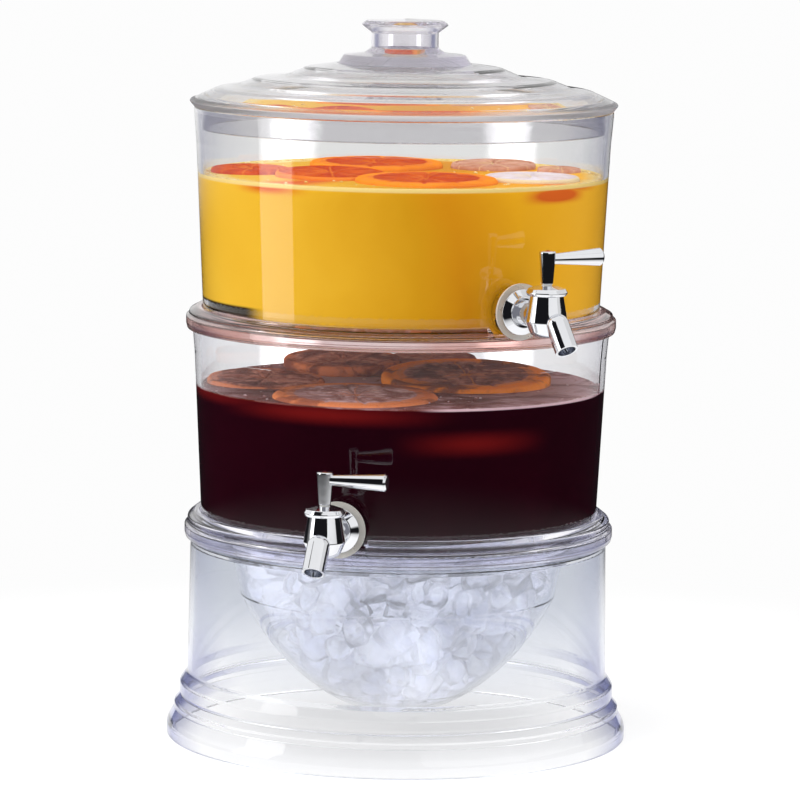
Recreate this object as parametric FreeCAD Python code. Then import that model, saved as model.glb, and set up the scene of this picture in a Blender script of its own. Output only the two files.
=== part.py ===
import FreeCAD, Part
import math
import os

# Two-tier beverage dispenser in clear moulded plastic, with two chromed quarter-turn taps.
# Millimetres. The origin is the middle of the base's underside, +Z is up and the front is -Y.

# The stack. The base and both tanks have the same rim, so every ring and the lid fit any of them.
base_height = 131.0
tier_pitch = 130.0
rim_radius = 129.2
wall = 3.0
edge_rounding = 0.8

# The base's outside, from the floor up: how far each stretch stands out past the rim, and its height
foot_flare = 14.0
foot_band_height = 8.0
foot_rounding = 2.5
foot_brow_rounding = 10.0
shoulder_flare = 9.3
shoulder_bottom = 17.0
shoulder_top = 20.0
groove_flare = 5.0
groove_height = 25.0
bead_flare = 6.0
bead_bottom = 27.0
bead_top = 33.0
bead_rounding = 2.0
cove_flare = 1.6
cove_height = 40.0
cove_rounding = 5.0
ledge_depth = 8.5
ledge_thickness = 3.0

# The ice bowl, hung on the base's ledge by its flange
bowl_inset = 24.0
bowl_depth = 108.5
bowl_wall = 2.5
bowl_cone_height = 33.5
bowl_cone_taper = 7.2
bowl_hip_radius = 48.0
bowl_hip_rise = 15.0
bowl_flange_width = 3.6
bowl_clearance = 0.6

# The stacking ring
ring_fit = 0.4
ring_skirt_thickness = 3.4
ring_skirt_depth = 6.5
ring_skirt_bevel = 3.0
ring_skirt_top = 1.2
ring_step_width = 1.9
ring_step_top = 2.4
lower_collar_height = 10.0
upper_collar_height = 6.8
ring_collar_edge_share = 0.64
ring_collar_top_width = 2.4
ring_crown_rounding = 2.2
ring_web = 2.0
ring_opening_clearance = 6.2
ring_lip_depth = 5.0
ring_lip_thickness = 2.5
seat_clearance = 0.9

# The tank
tank_taper = 5.1
tank_corner_radius = 5.0
tank_floor = 2.5
tank_band_height = 3.0
tank_band_rise = 18.6
tank_band_step = 1.6

# Where the tap passes through the tank's wall
tap_hole_height = 15.0
boss_radius = 15.5
boss_lift = 0.5
boss_overhang = 0.5
pad_radius = 12.0
pad_depth = 6.0
notch_clearance = 0.5

# The lid. Each wave has a crest and then a valley, as an inset from the rim and a height over it.
lid_overhang = 2.8
lid_thickness = 2.6
lid_edge_height = 4.6
lid_edge_bevel = 1.0
lid_nose_height = 3.4
lid_corner_height = 3.0
lid_skirt_depth = 13.5
lid_skirt_thickness = 2.2
lid_fit = 2.0
lid_waves = (
    ((14.0, 11.8), (26.0, 13.4)),
    ((37.8, 18.0), (56.2, 19.6)),
    ((69.4, 25.2), (85.2, 27.4)),
)
wave_crest_rounding = 12.0
wave_valley_rounding = 20.0

# The knob, a spool bonded over a low boss on the lid
knob_base_inset = 3.0
knob_base_edge = 5.4
knob_base_bevel = 3.6
knob_base_height = 6.6
knob_neck_radius = 20.6
knob_fillet_rise = 3.0
knob_fillet_width = 4.6
knob_neck_top = 19.0
knob_flare = 6.4
knob_lip_height = 23.9
knob_lip_bevel = 3.2
knob_shoulder_height = 26.3
knob_height = 27.1
knob_bore_radius = 16.8
knob_top_thickness = 3.5
knob_fit = 0.1
lid_boss_height = 2.0

# The tap, about the upright axis of its barrel, with heights from its shank's axis
neck_length = 23.0
barrel_top_radius = 10.0
barrel_foot_radius = 12.6
barrel_top = 12.5
barrel_foot = -3.0
barrel_bottom = -12.5
barrel_bowl_width = 4.0
barrel_bowl_rise = 0.6
barrel_bowl_rounding = 6.0
barrel_hip_rounding = 2.0
bonnet_overhang = 2.4
bonnet_height = 6.0
bonnet_waist = 1.0
bonnet_brim_height = 1.8
bonnet_shoulder_inset = 1.4
bonnet_shoulder_height = 4.2
bonnet_crown_width = 2.6
bonnet_thread_radius = 7.6
bonnet_thread_length = 5.5
bonnet_end_gap = 0.6
plug_radius = 6.2
plug_fit = 0.05
plug_seat_depth = 7.0
plug_end_gap = 0.2
plug_rounding = 0.6
passage_radius = 3.8
port_radius = 3.2
stem_radius = 3.0
drive_side = 3.6
drive_length = 8.0
drive_end_gap = 0.5
seal_width = 1.8
seal_height = 1.8
seal_rounding = 0.6
seal_depth = 1.2
neck_radius = 7.6
shank_radius = 6.8
shank_fit = 0.2
shank_beyond_nut = 3.0
flange_radius = 13.8
flange_thickness = 4.0
flange_edge = 1.2
flange_crown = 1.6
flange_rounding = 2.0
washer_radius = 17.0
washer_thickness = 1.5
inner_washer_radius = 10.5
nut_flats = 20.0
nut_thickness = 5.5
spout_radius = 6.9
spout_wall = 1.5
spout_tilt = 36.0
spout_reach = 12.0
spout_drop = 4.0
spout_length = 17.5
lever_gap = 0.6
post_foot_radius = 3.6
post_top_radius = 5.1
post_height = 20.5
post_crown = 1.0
post_rounding = 1.2
lever_length = 38.0
lever_root_radius = 2.9
lever_tip_radius = 5.4
lever_tip_bevel = 1.4
lever_axis_drop = 5.6

# Which way each tank's tap points, in degrees from the front towards the right
upper_tap_angle = 31.8
lower_tap_angle = -15.5

# Sizes that follow from the ones above
rim_bore = rim_radius - wall
ledge_top = base_height - ledge_depth
bowl_neck_radius = rim_radius - bowl_inset
bowl_flange_radius = bowl_neck_radius + bowl_flange_width
ring_radius = rim_radius + ring_fit + ring_skirt_thickness
ring_opening_radius = bowl_flange_radius + ring_opening_clearance
tank_height = tier_pitch - ring_web
tank_band_bottom = tank_height - tank_band_height
tank_wall_top_radius = rim_radius - tank_band_step
tank_foot_radius = tank_wall_top_radius - tank_taper
seat_radius = tank_foot_radius + seat_clearance
boss_face_reach = ring_radius + boss_overhang
pad_face_reach = tank_foot_radius - pad_depth
lid_top = lid_waves[-1][-1][1]
knob_base_radius = rim_radius - lid_waves[-1][-1][0] - knob_base_inset
washer_front_reach = boss_face_reach + washer_thickness
flange_front_reach = washer_front_reach + flange_thickness
tap_reach = flange_front_reach + neck_length
inner_washer_face_reach = pad_face_reach - washer_thickness
nut_face_reach = inner_washer_face_reach - nut_thickness
shank_length = tap_reach - nut_face_reach + shank_beyond_nut
bonnet_top = barrel_top + bonnet_height
stem_top = bonnet_top + lever_gap

UP = FreeCAD.Vector(0, 0, 1)
CENTRE = FreeCAD.Vector(0, 0, 0)
INWARDS = (0, 1, 0)


def outline(corners):
    """A flat face in the XZ plane from its corners, each (x, z) or (x, z, rounding radius)."""
    points = [FreeCAD.Vector(corner[0], 0, corner[1]) for corner in corners]
    stretches = []
    for i, here in enumerate(points):
        radius = corners[i][2] if len(corners[i]) > 2 else 0
        if not radius:
            stretches.append((here, here, None))
            continue
        before = points[i - 1] - here
        after = points[(i + 1) % len(points)] - here
        room = min(before.Length, after.Length) / 2
        before.normalize()
        after.normalize()
        half_angle = before.getAngle(after) / 2
        cut = min(radius / math.tan(half_angle), room)
        depth = cut * math.tan(half_angle) * (1 / math.sin(half_angle) - 1)
        middle = here + (before + after).normalize() * depth
        stretches.append((here + before * cut, here + after * cut, middle))
    edges = []
    for i, (start, end, middle) in enumerate(stretches):
        if middle is not None:
            edges.append(Part.Arc(start, middle, end).toShape())
        following = stretches[(i + 1) % len(stretches)][0]
        if end.distanceToPoint(following) > 1e-6:
            edges.append(Part.LineSegment(end, following).toShape())
    return Part.Face(Part.Wire(edges))


def turned(corners):
    """The solid of revolution of an outline about the Z axis."""
    return outline(corners).revolve(CENTRE, UP, 360)


def cylinder(radius, length, start, direction):
    return Part.makeCylinder(radius, length, FreeCAD.Vector(*start), FreeCAD.Vector(*direction))


def box(width, depth, height, front, bottom):
    """A box centred across the X axis, from its front face backwards and from its bottom up."""
    return Part.makeBox(width, depth, height, FreeCAD.Vector(-width / 2, front, bottom))


def placed(shape, height, angle):
    """A shape turned about the stack's axis and lifted to its tier."""
    moved = shape.copy()
    moved.rotate(CENTRE, UP, angle)
    moved.translate(UP * height)
    return moved


def make_base():
    """Open pedestal: a stepped and beaded foot under a straight wall, with a ledge for the ice bowl."""
    foot = [
        (foot_flare, 0, foot_rounding),
        (foot_flare, foot_band_height, foot_brow_rounding),
        (shoulder_flare, shoulder_bottom, edge_rounding),
        (shoulder_flare, shoulder_top, edge_rounding),
        (groove_flare, groove_height, edge_rounding),
        (bead_flare, bead_bottom, bead_rounding),
        (bead_flare, bead_top, bead_rounding),
        (cove_flare, cove_height, cove_rounding),
        (0, ledge_top - ledge_thickness),
    ]
    outside = [(rim_radius + flare, *rest) for flare, *rest in foot]
    inside = [(radius - wall, *rest) for radius, *rest in outside[1:]]
    hole_radius = bowl_neck_radius + bowl_clearance
    rim_and_ledge = [
        (rim_radius, base_height, edge_rounding),
        (rim_bore, base_height, edge_rounding),
        (rim_bore, ledge_top),
        (hole_radius, ledge_top, edge_rounding),
        (hole_radius, ledge_top - ledge_thickness, edge_rounding),
    ]
    floor_edge = [(rim_radius + foot_flare - wall, 0)]
    return turned(outside + rim_and_ledge + inside[::-1] + floor_edge)


def tangent_arc(start, heading, end):
    """An arc that leaves its start along a heading, and the heading on which it arrives."""
    chord = end - start
    turn = math.atan2(chord.z, chord.x) - heading
    middle = (start + end) * 0.5 + FreeCAD.Vector(chord.z, 0, -chord.x) * (math.tan(turn / 2) / 2)
    return Part.Arc(start, middle, end).toShape(), heading + 2 * turn


def to_the_left(point, heading, distance):
    """A point moved square to a heading, to its left."""
    return point + FreeCAD.Vector(-math.sin(heading), 0, math.cos(heading)) * distance


def make_ice_bowl():
    """Round-bottomed bowl of two smooth arcs under a short cone, which hangs by its flange."""
    low = FreeCAD.Vector(0, 0, ledge_top - bowl_depth)
    hip = FreeCAD.Vector(bowl_hip_radius, 0, low.z + bowl_hip_rise)
    shoulder = FreeCAD.Vector(bowl_neck_radius - bowl_cone_taper, 0, ledge_top - bowl_cone_height)
    bottom_arc, hip_heading = tangent_arc(low, 0, hip)
    side_arc, shoulder_heading = tangent_arc(hip, hip_heading, shoulder)
    inner_low = to_the_left(low, 0, bowl_wall)
    inner_hip = to_the_left(hip, hip_heading, bowl_wall)
    inner_shoulder = to_the_left(shoulder, shoulder_heading, bowl_wall)
    inner_bottom_arc = tangent_arc(inner_low, 0, inner_hip)[0]
    inner_side_arc = tangent_arc(inner_hip, hip_heading, inner_shoulder)[0]
    rim = [
        shoulder,
        FreeCAD.Vector(bowl_neck_radius, 0, ledge_top),
        FreeCAD.Vector(bowl_flange_radius, 0, ledge_top),
        FreeCAD.Vector(bowl_flange_radius, 0, ledge_top + bowl_wall),
        FreeCAD.Vector(bowl_neck_radius - bowl_wall, 0, ledge_top + bowl_wall),
        inner_shoulder,
    ]
    edges = [bottom_arc, side_arc, inner_side_arc, inner_bottom_arc]
    edges += [Part.LineSegment(a, b).toShape() for a, b in zip(rim, rim[1:])]
    edges.append(Part.LineSegment(inner_low, low).toShape())
    return Part.Face(Part.Wire(Part.__sortEdges__(edges))).revolve(CENTRE, UP, 360)


def make_stacking_ring(rim_height, collar_height, tap_angle):
    """Ring on a rim: a skirt outside it, a lip inside it, and a web and collar that seat a tank."""
    step_radius = ring_radius - ring_step_width
    crown_radius = seat_radius + ring_collar_top_width + edge_rounding
    lip_radius = rim_bore - ring_fit
    ring = turned([
        (rim_radius + ring_fit, -ring_skirt_depth),
        (ring_radius - edge_rounding, -ring_skirt_depth, edge_rounding),
        (ring_radius, -ring_skirt_depth + ring_skirt_bevel, edge_rounding),
        (ring_radius, ring_skirt_top, edge_rounding),
        (step_radius, ring_step_top, edge_rounding),
        (step_radius, ring_collar_edge_share * collar_height, ring_crown_rounding),
        (crown_radius, collar_height, ring_crown_rounding),
        (seat_radius, collar_height, edge_rounding),
        (seat_radius, ring_web),
        (ring_opening_radius, ring_web),
        (ring_opening_radius, 0, edge_rounding),
        (lip_radius - ring_lip_thickness, 0, edge_rounding),
        (lip_radius - ring_lip_thickness, -ring_lip_depth),
        (lip_radius, -ring_lip_depth, edge_rounding),
        (lip_radius, 0),
        (rim_radius + ring_fit, 0),
    ])
    notch_front = -ring_radius - wall
    notch = box(2 * (boss_radius + notch_clearance), -notch_front, collar_height, notch_front, ring_web)
    return placed(ring.cut(notch), rim_height, tap_angle)


def make_tank(rim_height_below, tap_angle):
    """Tapered tub that widens to its rim, with a boss outside and a pad inside round the tap's hole."""
    band_foot = tank_band_bottom - tank_band_rise
    full = turned([
        (0, 0),
        (tank_foot_radius, 0, tank_corner_radius),
        (tank_wall_top_radius, band_foot, edge_rounding),
        (rim_radius, tank_band_bottom, edge_rounding),
        (rim_radius, tank_height, edge_rounding),
        (0, tank_height),
    ])
    hollow = turned([
        (0, tank_floor),
        (tank_foot_radius - wall, tank_floor, tank_corner_radius),
        (tank_wall_top_radius - wall, band_foot, edge_rounding),
        (rim_bore, tank_band_bottom, edge_rounding),
        (rim_bore, tank_height - edge_rounding),
        (rim_bore + edge_rounding, tank_height),
        (0, tank_height),
    ])
    boss_start = (0, -boss_face_reach, tap_hole_height)
    boss = cylinder(boss_radius, boss_face_reach - pad_face_reach, boss_start, INWARDS)
    trim = 2 * boss_radius
    under_boss = box(2 * trim, boss_face_reach, trim, -boss_face_reach, boss_lift - trim)
    pad_start = (0, -tank_foot_radius, tap_hole_height)
    pad = cylinder(pad_radius, pad_depth, pad_start, INWARDS)
    pad_stand = box(2 * pad_radius, pad_depth, tap_hole_height, -tank_foot_radius, 0)
    bore = cylinder(shank_radius + shank_fit, boss_face_reach, boss_start, INWARDS)
    shell = full.fuse(boss.cut(under_boss)).cut(hollow)
    tank = shell.fuse([pad, pad_stand.common(full)]).removeSplitter().cut(bore)
    return placed(tank, rim_height_below + ring_web, tap_angle)


def lid_waves_lowered(drop):
    """Corners of the lid's waves from the rim towards the middle, lowered by a drop."""
    corners = []
    for crest, valley in lid_waves:
        corners.append((rim_radius - crest[0], crest[1] - drop, wave_crest_rounding))
        corners.append((rim_radius - valley[0], valley[1] - drop, wave_valley_rounding))
    return corners


def make_lid(rim_height):
    """Dome in three waves, with a thin edge past the rim, a skirt inside it and a low boss on top."""
    lid_radius = rim_radius + lid_overhang
    skirt_radius = rim_bore - lid_fit
    skirt_bore = skirt_radius - lid_skirt_thickness
    boss = knob_bore_radius - knob_fit
    edge = [
        (lid_radius - lid_edge_bevel, lid_edge_height, edge_rounding),
        (lid_radius, lid_nose_height, edge_rounding),
        (rim_radius, 0),
        (skirt_radius, 0),
        (skirt_radius, -lid_skirt_depth, edge_rounding),
        (skirt_bore, -lid_skirt_depth, edge_rounding),
        (skirt_bore, lid_corner_height, edge_rounding),
    ]
    top = [(0, lid_top + lid_boss_height), (boss, lid_top + lid_boss_height, edge_rounding), (boss, lid_top)]
    outside = lid_waves_lowered(0)[::-1]
    inside = lid_waves_lowered(lid_thickness)
    return placed(turned(top + outside + edge + inside + [(0, lid_top - lid_thickness)]), rim_height, 0)


def make_knob(rim_height):
    """Spool with a broad foot and a flared top, hollow from below, which fits over the lid's boss."""
    lip_radius = knob_neck_radius + knob_flare
    knob = turned([
        (knob_bore_radius, 0),
        (knob_base_radius, 0),
        (knob_base_radius - knob_base_bevel, knob_base_edge, edge_rounding),
        (knob_neck_radius + knob_fillet_width, knob_base_height, edge_rounding),
        (knob_neck_radius, knob_base_height + knob_fillet_rise, edge_rounding),
        (knob_neck_radius, knob_neck_top, edge_rounding),
        (lip_radius, knob_lip_height, edge_rounding),
        (lip_radius - knob_lip_bevel, knob_shoulder_height, edge_rounding),
        (0, knob_height),
        (0, knob_height - knob_top_thickness),
        (knob_bore_radius, knob_height - knob_top_thickness, edge_rounding),
    ])
    return placed(knob, rim_height + lid_top, 0)


def make_tap_body():
    """One casting: tapering barrel with a round bottom, slanted spout, and a shank for the tank."""
    barrel = turned([
        (0, barrel_bottom),
        (barrel_foot_radius - barrel_bowl_width, barrel_bottom + barrel_bowl_rise, barrel_bowl_rounding),
        (barrel_foot_radius, barrel_foot, barrel_hip_rounding),
        (barrel_top_radius, barrel_top),
        (0, barrel_top),
    ])
    tilt = math.radians(spout_tilt)
    down_spout = (0, -math.sin(tilt), -math.cos(tilt))
    spout_start = (0, -spout_reach, -spout_drop)
    spout = cylinder(spout_radius, spout_length, spout_start, down_spout)
    shoulder = Part.makeSphere(spout_radius, FreeCAD.Vector(*spout_start))
    neck = cylinder(neck_radius, neck_length, CENTRE, INWARDS)
    shank = cylinder(shank_radius, shank_length, CENTRE, INWARDS)
    body = barrel.fuse([spout, shoulder, neck, shank]).removeSplitter()
    plug_seat = cylinder(plug_radius + plug_fit, barrel_top + plug_seat_depth, (0, 0, -plug_seat_depth), UP)
    thread_start = (0, 0, barrel_top - bonnet_thread_length)
    thread = cylinder(bonnet_thread_radius, bonnet_thread_length, thread_start, UP)
    inlet = cylinder(passage_radius, shank_length, CENTRE, INWARDS)
    port = cylinder(port_radius, spout_reach, CENTRE, spout_start)
    bore_radius = spout_radius - spout_wall
    elbow = Part.makeSphere(bore_radius, FreeCAD.Vector(*spout_start))
    outlet = cylinder(bore_radius, spout_length, spout_start, down_spout)
    return body.cut([plug_seat, thread, inlet, port, elbow, outlet])


def make_tap_bonnet():
    """Screwed cap that closes the barrel and guides the stem, with a groove for the seal under it."""
    stem_hole = stem_radius + plug_fit
    groove_radius = stem_hole + seal_width
    brim = barrel_top_radius + bonnet_overhang
    thread_end = barrel_top - bonnet_thread_length + bonnet_end_gap
    return turned([
        (stem_hole, barrel_top - seal_depth),
        (groove_radius, barrel_top - seal_depth),
        (groove_radius, thread_end),
        (bonnet_thread_radius - plug_fit, thread_end),
        (bonnet_thread_radius - plug_fit, barrel_top),
        (brim - bonnet_waist, barrel_top, edge_rounding),
        (brim, barrel_top + bonnet_brim_height, edge_rounding),
        (brim - bonnet_shoulder_inset, barrel_top + bonnet_shoulder_height, edge_rounding),
        (stem_hole + bonnet_crown_width, bonnet_top, edge_rounding),
        (stem_hole, bonnet_top),
    ])


def make_valve_plug():
    """Turned plug, closed while its cross bore lies across the flow, with a square drive on its stem."""
    plug_end = plug_end_gap - plug_seat_depth
    plug_top = barrel_top - bonnet_thread_length - plug_end_gap
    plug = turned([
        (0, plug_end),
        (plug_radius, plug_end, plug_rounding),
        (plug_radius, plug_top, plug_rounding),
        (stem_radius, plug_top),
        (stem_radius, stem_top),
        (0, stem_top),
    ])
    drive = box(drive_side, drive_side, drive_length, -drive_side / 2, stem_top)
    way = cylinder(passage_radius, 2 * plug_radius, (-plug_radius, 0, 0), (1, 0, 0))
    return plug.fuse(drive).cut(way)


def make_stem_seal():
    """Rubber ring in the bonnet's groove round the stem."""
    inner = stem_radius + plug_fit
    outer = inner + seal_width
    top = barrel_top - seal_depth
    return turned([
        (inner, top - seal_height, seal_rounding),
        (outer, top - seal_height, seal_rounding),
        (outer, top, seal_rounding),
        (inner, top, seal_rounding),
    ])


def make_tap_lever():
    """Tapering post over the bonnet, with a side lever that thickens towards its tip."""
    post = turned([
        (0, 0),
        (post_foot_radius, 0, edge_rounding),
        (post_top_radius, post_height - post_crown, post_rounding),
        (0, post_height),
    ])
    arm = turned([
        (0, 0),
        (lever_root_radius, 0),
        (lever_tip_radius, lever_length - lever_tip_bevel, edge_rounding),
        (lever_tip_radius - lever_tip_bevel, lever_length, edge_rounding),
        (0, lever_length),
    ])
    arm.rotate(CENTRE, FreeCAD.Vector(0, 1, 0), 90)
    arm.translate(UP * (post_height - lever_axis_drop))
    side = drive_side + 2 * plug_fit
    socket = box(side, side, drive_length + drive_end_gap, -side / 2, 0)
    return placed(post.fuse(arm).removeSplitter().cut(socket), stem_top, 0)


def make_tap_flange():
    """Domed round plate between the casting's neck and the outer washer."""
    hole = shank_radius + shank_fit
    plate = turned([
        (hole, 0),
        (flange_radius, 0),
        (flange_radius, flange_edge, edge_rounding),
        (neck_radius + flange_crown, flange_thickness, flange_rounding),
        (hole, flange_thickness),
    ])
    plate.rotate(CENTRE, FreeCAD.Vector(1, 0, 0), 90)
    plate.translate(FreeCAD.Vector(0, tap_reach - washer_front_reach, 0))
    return plate


def make_washer(radius, outer_reach):
    """Flat washer round the shank, from its outer face's reach inwards."""
    start = (0, tap_reach - outer_reach, 0)
    disc = cylinder(radius, washer_thickness, start, INWARDS)
    return disc.cut(cylinder(shank_radius + shank_fit, washer_thickness, start, INWARDS))


def make_outer_washer():
    return make_washer(washer_radius, washer_front_reach)


def make_inner_washer():
    return make_washer(inner_washer_radius, pad_face_reach)


def make_lock_nut():
    """Hexagonal nut on the shank, with flats above and below."""
    start = (0, tap_reach - inner_washer_face_reach, 0)
    corner = nut_flats / math.sqrt(3)
    turns = [math.radians(60 * i) for i in range(7)]
    rim = [FreeCAD.Vector(corner * math.cos(turn), start[1], corner * math.sin(turn)) for turn in turns]
    block = Part.Face(Part.makePolygon(rim)).extrude(FreeCAD.Vector(0, nut_thickness, 0))
    return block.cut(cylinder(shank_radius + plug_fit, nut_thickness, start, INWARDS))


TAP_PIECES = {
    "tap_body": make_tap_body,
    "tap_bonnet": make_tap_bonnet,
    "tap_lever": make_tap_lever,
    "tap_valve_plug": make_valve_plug,
    "tap_stem_seal": make_stem_seal,
    "tap_flange": make_tap_flange,
    "tap_outer_washer": make_outer_washer,
    "tap_inner_washer": make_inner_washer,
    "tap_lock_nut": make_lock_nut,
}


def make_tap(tier, rim_height_below, tap_angle):
    """All pieces of one tap, in place at its tank's hole."""
    pieces = {}
    for name, make_piece in TAP_PIECES.items():
        piece = make_piece()
        piece.translate(FreeCAD.Vector(0, -tap_reach, ring_web + tap_hole_height))
        pieces[f"{tier}_{name}"] = placed(piece, rim_height_below, tap_angle)
    return pieces


lower_rim = base_height + tier_pitch
upper_rim = lower_rim + tier_pitch
nodes = {
    "base": make_base(),
    "ice_bowl": make_ice_bowl(),
    "lower_stacking_ring": make_stacking_ring(base_height, lower_collar_height, lower_tap_angle),
    "lower_tank": make_tank(base_height, lower_tap_angle),
    "upper_stacking_ring": make_stacking_ring(lower_rim, upper_collar_height, upper_tap_angle),
    "upper_tank": make_tank(lower_rim, upper_tap_angle),
    "lid": make_lid(upper_rim),
    "lid_knob": make_knob(upper_rim),
    **make_tap("lower", base_height, lower_tap_angle),
    **make_tap("upper", lower_rim, upper_tap_angle),
}
os.makedirs("parts", exist_ok=True)
for node, solid in nodes.items():
    solid.exportStep(f"parts/{node}.step")
    print(f"{node}: solids {len(solid.Solids)} valid {solid.isValid()} volume {solid.Volume:.0f} mm3")
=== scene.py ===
import math
import random

import bpy
from mathutils import Euler, Matrix, Vector, noise


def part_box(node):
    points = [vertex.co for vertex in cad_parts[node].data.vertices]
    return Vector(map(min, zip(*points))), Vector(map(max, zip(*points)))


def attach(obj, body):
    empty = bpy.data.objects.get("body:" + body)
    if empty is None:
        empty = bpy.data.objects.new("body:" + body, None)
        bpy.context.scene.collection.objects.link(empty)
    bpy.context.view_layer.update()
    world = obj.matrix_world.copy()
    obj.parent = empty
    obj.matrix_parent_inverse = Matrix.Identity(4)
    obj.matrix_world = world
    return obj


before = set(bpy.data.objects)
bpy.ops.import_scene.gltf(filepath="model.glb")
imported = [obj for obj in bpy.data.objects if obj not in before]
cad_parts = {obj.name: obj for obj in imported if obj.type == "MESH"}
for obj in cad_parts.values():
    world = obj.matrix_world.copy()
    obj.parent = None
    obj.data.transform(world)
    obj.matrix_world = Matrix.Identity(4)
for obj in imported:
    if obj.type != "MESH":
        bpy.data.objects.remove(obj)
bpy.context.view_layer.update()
scene = bpy.context.scene


# The camera stands where the photograph was taken from: some 2.7 m in front of the
# dispenser, a little over its lid, with a long lens and a slight lean to the left.
camera_distance = 2.742
camera_height = 0.5631
camera_tilt = math.radians(7.345)
camera_lean = math.radians(0.80)
lens_data = bpy.data.cameras.new("camera")
lens_data.sensor_width = 36.0
lens_data.lens = 200.4
camera = bpy.data.objects.new("camera", lens_data)
scene.collection.objects.link(camera)
upright = Vector((0, math.sin(camera_tilt), math.cos(camera_tilt)))
across = Vector((math.cos(camera_lean), 0, 0)) + upright * math.sin(camera_lean)
upwards = upright * math.cos(camera_lean) - Vector((math.sin(camera_lean), 0, 0))
camera_turn = Matrix((across, upwards, across.cross(upwards))).transposed().to_4x4()
camera.matrix_world = Matrix.Translation((0, -camera_distance, camera_height)) @ camera_turn
scene.camera = camera


# The studio: a pale floor that runs on into a white backdrop, soft boxes to the left, to the right and
# overhead, and cards all round that show only as light and dark lines in chrome and clear plastic.
def add(tree, kind, inputs=None, **settings):
    """A shader node with its settings, and its inputs as values, colours or sockets to link."""
    node = tree.nodes.new(kind)
    for name, value in settings.items():
        setattr(node, name, value)
    for name, value in (inputs or {}).items():
        socket = node.inputs[name]
        if isinstance(value, bpy.types.NodeSocket):
            tree.links.new(value, socket)
        else:
            socket.default_value = (*value, 1) if socket.type == "RGBA" else value
    return node


def work(tree, operation, a, b=0.0):
    """The result of a sum on one or two values or sockets."""
    return add(tree, "ShaderNodeMath", {0: a, 1: b}, operation=operation).outputs[0]


def soft_step(tree, value, low, high):
    """0 at a low value, rising softly to 1 at a high one. The two can also stand in the other order."""
    return add(tree, "ShaderNodeMapRange", {"Value": value, "From Min": low, "From Max": high},
               interpolation_type="SMOOTHSTEP").outputs[0]


def hump(tree, value, middle, reach, flat=0.0):
    """1 where a value is near the middle of a stretch, falling softly to 0 at its reach."""
    off = work(tree, "ABSOLUTE", work(tree, "SUBTRACT", value, middle))
    return soft_step(tree, off, reach, reach * flat)


def mixed(tree, share, first, second, **settings):
    """Two colours mixed, by the share of the second one."""
    return add(tree, "ShaderNodeMix", {0: share, 6: first, 7: second},
               data_type="RGBA", **settings).outputs[2]


def own_spot(tree):
    """A point's place in its object's own coordinates."""
    return add(tree, "ShaderNodeTexCoord").outputs["Object"]


def split(tree, spot):
    """A place's X, Y and Z."""
    return add(tree, "ShaderNodeSeparateXYZ", {0: spot}).outputs


def length_of(tree, spot):
    """A place's distance from the middle of its coordinates."""
    return add(tree, "ShaderNodeVectorMath", {0: spot}, operation="LENGTH").outputs["Value"]


def bearing_of(tree, axes):
    """The angle of a place round the dispenser from its front, positive to the right."""
    return work(tree, "ARCTAN2", axes["X"], work(tree, "MULTIPLY", axes["Y"], -1.0))


def blank_material(name):
    """A material with no nodes but its output."""
    material = bpy.data.materials.new(name)
    material.use_nodes = True
    tree = material.node_tree
    tree.nodes.clear()
    return material, tree, tree.nodes.new("ShaderNodeOutputMaterial")


def mesh_object(name, vertices, faces, material):
    """A new smooth object from its vertices and faces, with one material."""
    mesh = bpy.data.meshes.new(name)
    mesh.from_pydata(vertices, [], faces)
    mesh.materials.append(material)
    mesh.polygons.foreach_set("use_smooth", [True] * len(mesh.polygons))
    mesh.update()
    made = bpy.data.objects.new(name, mesh)
    scene.collection.objects.link(made)
    return made


def shown_ray(tree):
    """1 for rays that show the backdrop: to the camera, in metal and through glass."""
    seen = add(tree, "ShaderNodeLightPath").outputs
    in_view = work(tree, "MAXIMUM", seen["Is Camera Ray"], seen["Is Glossy Ray"])
    return work(tree, "MAXIMUM", in_view, seen["Is Transmission Ray"])


scene.view_settings.view_transform = "Standard"
backdrop_white = (0.98, 0.98, 0.98)
world = bpy.data.worlds.new("studio")
scene.world = world
world.use_nodes = True
world_tree = world.node_tree
world_tree.nodes.clear()
shade = add(world_tree, "ShaderNodeBackground", {"Color": (0.98, 0.985, 1.0), "Strength": 0.66})
white = add(world_tree, "ShaderNodeBackground", {"Color": backdrop_white, "Strength": 1.0})
world_mix = add(world_tree, "ShaderNodeMixShader",
                {0: shown_ray(world_tree), 1: shade.outputs[0], 2: white.outputs[0]})
add(world_tree, "ShaderNodeOutputWorld", {"Surface": world_mix.outputs[0]})

floor_radius = 6.0
floor_corners = 96
shadow_full, shadow_gone = 0.2, 0.62
floor_material, floor_tree, floor_output = blank_material("studio floor")
fade = soft_step(floor_tree, length_of(floor_tree, own_spot(floor_tree)), shadow_full, shadow_gone)
paper = add(floor_tree, "ShaderNodeBsdfDiffuse", {"Color": (0.66, 0.66, 0.66)})
glow = add(floor_tree, "ShaderNodeEmission", {"Color": backdrop_white, "Strength": 1.0})
lift = add(floor_tree, "ShaderNodeEmission", {"Color": backdrop_white, "Strength": 0.42})
lit = add(floor_tree, "ShaderNodeAddShader", {0: paper.outputs[0], 1: lift.outputs[0]})
far = add(floor_tree, "ShaderNodeMixShader", {0: fade, 1: lit.outputs[0], 2: glow.outputs[0]})
floor_mix = add(floor_tree, "ShaderNodeMixShader",
                {0: shown_ray(floor_tree), 1: paper.outputs[0], 2: far.outputs[0]})
floor_tree.links.new(floor_mix.outputs[0], floor_output.inputs["Surface"])
floor_edge = [math.tau * i / floor_corners for i in range(floor_corners)]
floor = mesh_object("studio_floor",
                    [(floor_radius * math.cos(a), floor_radius * math.sin(a), 0) for a in floor_edge],
                    [list(range(floor_corners))], floor_material)


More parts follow.
